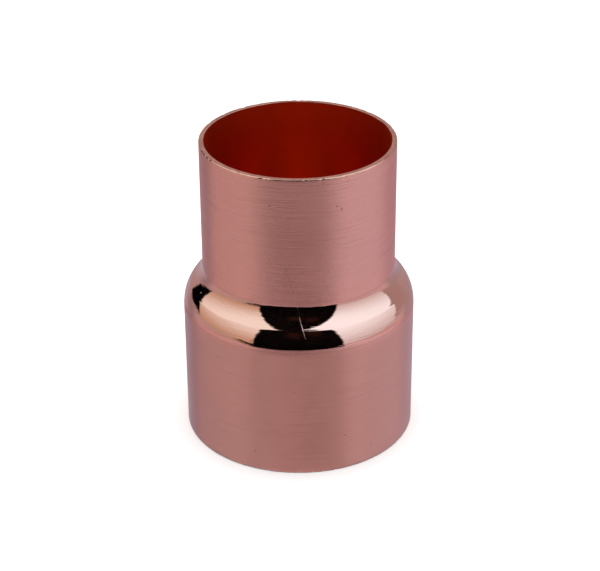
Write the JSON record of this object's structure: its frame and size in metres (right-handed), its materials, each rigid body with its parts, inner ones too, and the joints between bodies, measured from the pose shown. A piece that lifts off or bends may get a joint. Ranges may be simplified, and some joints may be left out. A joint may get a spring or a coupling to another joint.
{
  "type": "concentric pipe reducer",
  "caption": "Seamless copper end-feed reducer that joins a large copper pipe to a smaller one on the same axis.",
  "frame": {"origin": "centre of the large end's face, which the fitting stands on", "axes": "+Z along the common axis of both sockets, from the large end to the small end"},
  "size_m": [0.0446, 0.0446, 0.0597],
  "materials": {
    "copper": "circumferentially brushed satin copper with a bright polished shoulder"
  },
  "bodies": {
    "root": {"reducer_body": "copper"}
  },
  "joints": []
}
